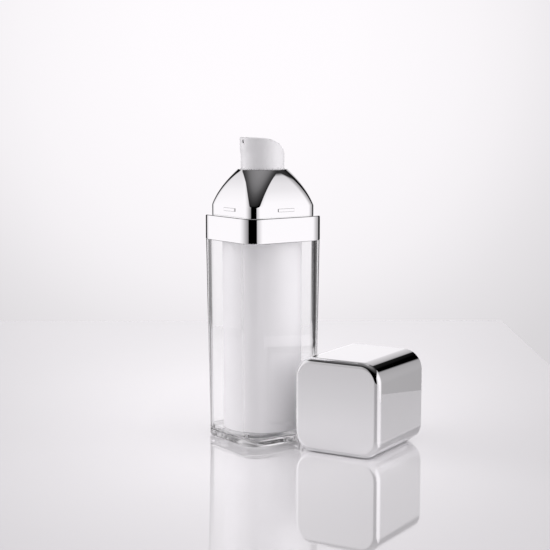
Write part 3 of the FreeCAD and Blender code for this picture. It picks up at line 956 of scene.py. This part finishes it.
def set_stops(ramp, stops):
    """Gives a colour ramp grey stops, each a place from 0 to 1 and a brightness."""
    elements = ramp.color_ramp.elements
    while len(elements) < len(stops):
        elements.new(0.5)
    for element, (place, level) in zip(elements, stops):
        element.position = place
        element.color = (level, level, level, 1)


white_floor, floor_shader = moulded(
    "white floor",
    floor_light,
    floor_dark,
    clouds_per_metre=12,
    smoothest=0.02,
    roughest=0.04,
    ripple=0.0,
)
floor_shader.inputs["IOR"].default_value = floor_ior
floor_shader.inputs["Metallic"].default_value = floor_mirror
floor_nodes, floor_links = white_floor.node_tree.nodes, white_floor.node_tree.links
# The painted pool of light: the floor's own colour is multiplied by the falloff ramp.
floor_place = floor_nodes.new("ShaderNodeTexCoord")
painted_pool_place = floor_nodes.new("ShaderNodeMapping")
painted_pool_place.vector_type = "TEXTURE"
painted_pool_place.inputs["Location"].default_value = (
    -painted_pool_behind * math.sin(camera_azimuth),
    painted_pool_behind * math.cos(camera_azimuth),
    0,
)
painted_pool_place.inputs["Rotation"].default_value = (0, 0, camera_azimuth)
painted_pool_place.inputs["Scale"].default_value = (painted_pool_side, painted_pool_depth, 1)
painted_pool_reach = floor_nodes.new("ShaderNodeVectorMath")
painted_pool_reach.operation = "LENGTH"
painted_pool_ramp = floor_nodes.new("ShaderNodeValToRGB")
set_stops(painted_pool_ramp, painted_pool_fall)
painted_pool_tone = floor_nodes.new("ShaderNodeMix")
painted_pool_tone.data_type = "RGBA"
painted_pool_tone.blend_type = "MULTIPLY"
painted_pool_tone.inputs["Factor"].default_value = 1
floor_skin = floor_shader.inputs["Base Color"].links[0].from_socket
floor_links.new(floor_place.outputs["Object"], painted_pool_place.inputs["Vector"])
floor_links.new(painted_pool_place.outputs["Vector"], painted_pool_reach.inputs[0])
floor_links.new(painted_pool_reach.outputs["Value"], painted_pool_ramp.inputs["Fac"])
floor_links.new(floor_skin, painted_pool_tone.inputs["A"])
floor_links.new(painted_pool_ramp.outputs["Color"], painted_pool_tone.inputs["B"])
floor_links.new(painted_pool_tone.outputs["Result"], floor_shader.inputs["Base Color"])
bpy.ops.object.select_all(action="DESELECT")
bpy.ops.mesh.primitive_plane_add(size=1)
floor = bpy.context.object
floor.name = "floor"
floor.scale = (floor_left + floor_right, floor_ahead + floor_behind, 1)
floor.location = ((floor_right - floor_left) / 2, (floor_behind - floor_ahead) / 2, -floor_drop)
bpy.ops.object.transform_apply(location=True, rotation=False, scale=True)
floor.rotation_euler.z = camera_azimuth
bpy.ops.object.transform_apply(location=False, rotation=True, scale=False)
floor.data.materials.append(white_floor)


# Studio light
# A white backdrop, a tall soft light at each side with a dark gap between them, and a dim
# ceiling, all far away. Directions round the bottle are in degrees, 0 towards the camera and
# positive to the right of the picture.
light_tint = (1.0, 0.973, 1.0, 1)
# Through the clear pieces: a bright field behind them and dimmer sides, which draw their edges.
clear_edges = ((-171, 1.0), (-160, 0.0), (152, 0.0), (166, 1.0))
clear_sides = (
    (-180, 0.20), (-160, 0.16), (-130, 0.18), (-110, 0.46), (-90, 0.66), (-50, 0.46), (0, 0.43),
    (60, 0.20), (78, 0.02), (140, 0.02), (156, 0.10), (180, 0.20),
)
clear_above = (
    (-180, 0.95), (-60, 0.92), (0, 0.82), (60, 0.63), (120, 0.42), (160, 0.60), (180, 0.95),
)
clear_above_start = (0.22, 0.38)  # heights over the horizon, as sines
# Direction, light that mirrors show there, and light that it casts on white surfaces, which is
# more where the mirrors already show full white.
soft_lights = (
    (-154, 0.00, 0.40), (-152, 0.00, 0.24), (-138, 0.00, 0.24), (-134, 0.62, 0.40),
    (-121, 0.86, 2.05), (-112, 1.03, 2.30), (-98, 0.97, 2.55), (-81, 0.80, 2.60),
    (-66, 0.58, 1.35), (-52, 0.36, 0.40), (-45, 0.28, 0.10), (-43, 0.00, 0.00),
    (5, 0.00, 0.00), (8, 0.62, 0.30), (21, 0.78, 0.50), (30, 0.92, 0.80),
    (40, 1.03, 1.40), (72, 1.03, 2.20), (82, 0.98, 2.05), (91, 0.82, 1.75),
    (100, 0.66, 1.20), (110, 0.53, 0.40), (118, 0.46, 0.17), (127, 0.38, 0.15),
    (129, 0.00, 0.20), (133, 0.00, 0.25),
)
left_light_azimuth = math.radians(-107)
left_light_top = 0.82  # height of its upper edge over its distance
left_back_azimuth = math.radians(-75)  # its upper edge drops towards the backdrop
left_back_top = 1.3
left_back_drop = -0.22
right_light_azimuth = math.radians(85)
right_light_top = 0.90
light_top_blur = 0.03
light_fall = ((0.34, 1.0), (0.45, 0.93), (0.50, 0.88), (0.59, 0.82), (0.66, 0.75))  # by sine
backdrop_azimuth = math.radians(-179.4)
backdrop_elevation = math.radians(3)
backdrop_fall = (  # degrees off its brightest place
    (0, 1.0), (4, 0.995), (7, 0.97), (9, 0.945), (10.8, 0.905), (12.4, 0.850), (13.7, 0.80),
    (15, 0.76), (17, 0.70), (23, 0.62), (29, 0.54), (36, 0.38), (60, 0.30),
)
backdrop_round = ((0.17, 0.0), (0.40, 0.78))  # the least of it that the other sides show
backdrop_edges = ((-161, 1.0), (-159, 0.0), (152, 0.0), (154, 1.0))
backdrop_foot_edges = ((-171, 1.0), (-168, 0.0), (167, 0.0), (170, 1.0))  # below the horizon
light_foot_edges = ((-149, 0.0), (-146, 1.0), (131, 1.0), (133, 0.0))
horizon_blur = (-0.05, -0.01)
ceiling_azimuth = math.radians(-150)
ceiling_elevation = math.radians(83)
ceiling_fall = (
    (0, 0.26), (10, 0.24), (20, 0.20), (28, 0.15), (34, 0.10), (40, 0.065), (48, 0.035), (62, 0.0),
)
ceiling_light = (  # what it casts, over each direction
    (-180, 0.52), (-140, 0.58), (-120, 1.25), (-45, 1.00), (0, 0.75), (50, 1.25), (130, 1.45),
    (142, 0.62), (180, 0.54),
)
ceiling_start = (math.sin(math.radians(36)), math.sin(math.radians(43)))
scattered_depth = 0.5  # light that left a white surface has a greater diffuse depth
foot_bounces = 24  # light turns many times inside the thick clear foot
mirror_bounces = 16

world = bpy.data.worlds.new("studio")
bpy.context.scene.world = world
world.use_nodes = True
sky_nodes, sky_links = world.node_tree.nodes, world.node_tree.links
sky_nodes.clear()


def sky(kind, operation, *inputs):
    """A math node of the world, fed with numbers or with the outputs of other nodes."""
    node = sky_nodes.new(kind)
    node.operation = operation
    for socket, value in zip(node.inputs, inputs):
        if isinstance(value, bpy.types.NodeSocket):
            sky_links.new(value, socket)
        else:
            socket.default_value = value
    return node.outputs["Value"] if "Value" in node.outputs else node.outputs["Vector"]


def sky_ramp(value, stops):
    """Brightness that follows value, from 0 to 1, through the stops."""
    node = sky_nodes.new("ShaderNodeValToRGB")
    set_stops(node, stops)
    sky_links.new(value, node.inputs["Fac"])
    return node.outputs["Color"]


def sky_mix(factor, first, second):
    """The first brightness where factor is 0, the second where it is 1."""
    node = sky_nodes.new("ShaderNodeMix")
    node.data_type = "RGBA"
    sky_links.new(factor, node.inputs["Factor"])
    sky_links.new(first, node.inputs["A"])
    if isinstance(second, bpy.types.NodeSocket):
        sky_links.new(second, node.inputs["B"])
    else:
        node.inputs["B"].default_value = second
    return node.outputs["Result"]


def sky_smooth(value, start, end):
    """0 below start, 1 above end, smooth between."""
    node = sky_nodes.new("ShaderNodeMapRange")
    node.interpolation_type = "SMOOTHSTEP"
    sky_links.new(value, node.inputs["Value"])
    node.inputs["From Min"].default_value = start
    node.inputs["From Max"].default_value = end
    return node.outputs["Result"]


def around(azimuth, elevation):
    """A direction given from the one towards the camera, to the right of the picture."""
    turn = camera_azimuth + azimuth
    return (
        math.sin(turn) * math.cos(elevation),
        -math.cos(turn) * math.cos(elevation),
        math.sin(elevation),
    )


sky_place = sky_nodes.new("ShaderNodeTexCoord")
look = sky("ShaderNodeVectorMath", "NORMALIZE", sky_place.outputs["Generated"])


def facing(direction):
    """The cosine of the angle to a direction."""
    node = sky_nodes.new("ShaderNodeVectorMath")
    node.operation = "DOT_PRODUCT"
    sky_links.new(look, node.inputs[0])
    node.inputs[1].default_value = direction
    return node.outputs["Value"]


def off(azimuth, elevation, fall):
    """Brightness that falls with the angle from a direction."""
    widest = math.radians(fall[-1][0])
    angle = sky("ShaderNodeMath", "ARCCOSINE", facing(around(azimuth, elevation)))
    share = sky("ShaderNodeMath", "DIVIDE", angle, widest)
    return sky_ramp(share, [(math.radians(degrees) / widest, level) for degrees, level in fall])


def product(first, second):
    return sky("ShaderNodeMath", "MULTIPLY", first, second)


def total(first, second):
    return sky("ShaderNodeMath", "ADD", first, second)


ahead = facing(around(0, 0))
aside = facing(around(math.pi / 2, 0))
up = facing((0, 0, 1))
turned = sky("ShaderNodeMath", "ARCTAN2", aside, ahead)
turned_share = sky("ShaderNodeMath", "MULTIPLY_ADD", turned, 1 / (2 * math.pi), 0.5)


def by_direction(stops):
    """Brightness round the bottle, through stops in degrees."""
    return sky_ramp(turned_share, [(degrees / 360 + 0.5, level) for degrees, level in stops])


left_back = facing(around(left_back_azimuth, 0))
left_edge = sky(
    "ShaderNodeMath",
    "MINIMUM",
    product(facing(around(left_light_azimuth, 0)), left_light_top),
    sky("ShaderNodeMath", "MULTIPLY_ADD", left_back, left_back_top, left_back_drop),
)
right_edge = product(facing(around(right_light_azimuth, 0)), right_light_top)
light_edge = sky("ShaderNodeMath", "MAXIMUM", left_edge, right_edge)
under_edge = sky_smooth(
    sky("ShaderNodeMath", "SUBTRACT", light_edge, up), -light_top_blur, light_top_blur
)
light_window = product(under_edge, sky_ramp(up, light_fall))
ring_mirrored = by_direction([(degrees, seen) for degrees, seen, cast in soft_lights])
ring_cast = by_direction([(degrees, cast) for degrees, seen, cast in soft_lights])
backdrop = off(backdrop_azimuth, backdrop_elevation, backdrop_fall)
over_horizon = sky_smooth(up, *horizon_blur)
backdrop_window = sky_mix(
    over_horizon, by_direction(backdrop_foot_edges), by_direction(backdrop_edges)
)
backdrop_seen = product(backdrop, backdrop_window)
light_foot = sky_mix(over_horizon, by_direction(light_foot_edges), (1, 1, 1, 1))
ceiling_seen = off(ceiling_azimuth, ceiling_elevation, ceiling_fall)
ceiling_cast = by_direction(ceiling_light)
lights_seen = product(product(ring_mirrored, light_foot), light_window)
mirrored = total(total(lights_seen, backdrop_seen), ceiling_seen)
plain = sky_mix(sky_smooth(up, *ceiling_start), ring_cast, ceiling_cast)
ray = sky_nodes.new("ShaderNodeLightPath")
clear_round = sky_mix(
    sky_smooth(up, *clear_above_start), by_direction(clear_sides), by_direction(clear_above)
)
seen_through = sky(
    "ShaderNodeMath", "MAXIMUM", product(backdrop, by_direction(clear_edges)), clear_round
)
through_or_off = total(ray.outputs["Is Glossy Ray"], ray.outputs["Is Transmission Ray"])
scattered = sky(
    "ShaderNodeMath", "GREATER_THAN", ray.outputs["Diffuse Depth"], scattered_depth
)
seen_directly = sky("ShaderNodeMath", "SUBTRACT", through_or_off, scattered)
clear_or_mirrored = sky_mix(ray.outputs["Is Transmission Ray"], mirrored, seen_through)
lit = sky_mix(seen_directly, plain, clear_or_mirrored)
behind = facing(around(backdrop_azimuth, backdrop_elevation))
aside_share = sky("ShaderNodeMath", "SUBTRACT", 1, behind)
backdrop_shown = sky(
    "ShaderNodeMath", "MAXIMUM", backdrop, sky_ramp(aside_share, backdrop_round)
)
shown = sky_mix(ray.outputs["Is Camera Ray"], lit, backdrop_shown)
sky_background = sky_nodes.new("ShaderNodeBackground")
sky_background.inputs["Color"].default_value = light_tint
sky_links.new(shown, sky_background.inputs["Strength"])
sky_output = sky_nodes.new("ShaderNodeOutputWorld")
sky_links.new(sky_background.outputs["Background"], sky_output.inputs["Surface"])

bpy.context.scene.view_settings.view_transform = "Standard"
bpy.context.scene.cycles.max_bounces = foot_bounces
bpy.context.scene.cycles.glossy_bounces = mirror_bounces
bpy.context.scene.cycles.transmission_bounces = foot_bounces
